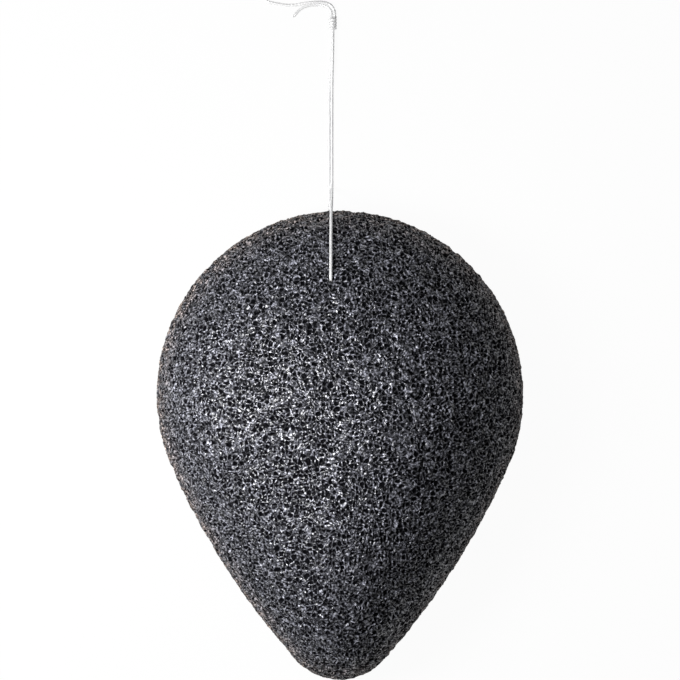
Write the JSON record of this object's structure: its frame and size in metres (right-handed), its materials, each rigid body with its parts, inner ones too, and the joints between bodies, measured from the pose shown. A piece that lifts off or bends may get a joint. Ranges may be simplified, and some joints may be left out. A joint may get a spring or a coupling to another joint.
{
  "type": "konjac sponge",
  "caption": "Drop-shaped charcoal konjac sponge with a tall porous dome, a flat back and a thin white thread threaded through it and knotted into a hanging loop.",
  "frame": {"origin": "under the middle of the foam's box, on the plane of its flat back", "axes": "+Z out of the dome, -Y towards the tip, +Y towards the hanging thread, +X to the right as seen from above the dome"},
  "size_m": [0.08, 0.1522, 0.038],
  "materials": {
    "konjac_foam": "dry open-pored konjac foam, charcoal black, with glinting cell walls and dark pores",
    "thread": "white twisted cotton thread, matte and slightly fuzzy"
  },
  "bodies": {
    "sponge": {"sponge_body": "konjac_foam", "thread_core": "thread", "front_strand": "thread", "back_strand": "thread"},
    "hanging_loop": {"loop_front_strand": "thread", "loop_back_strand": "thread", "knot": "thread", "short_tail": "thread", "long_tail": "thread"}
  },
  "joints": [
    {"name": "string_swing", "type": "hinge", "parent": "sponge", "child": "hanging_loop", "pos_m": [-0.0021, 0.06, 0.0003], "axis": [0, 0, 1], "range_deg": [-60, 60]}
  ]
}
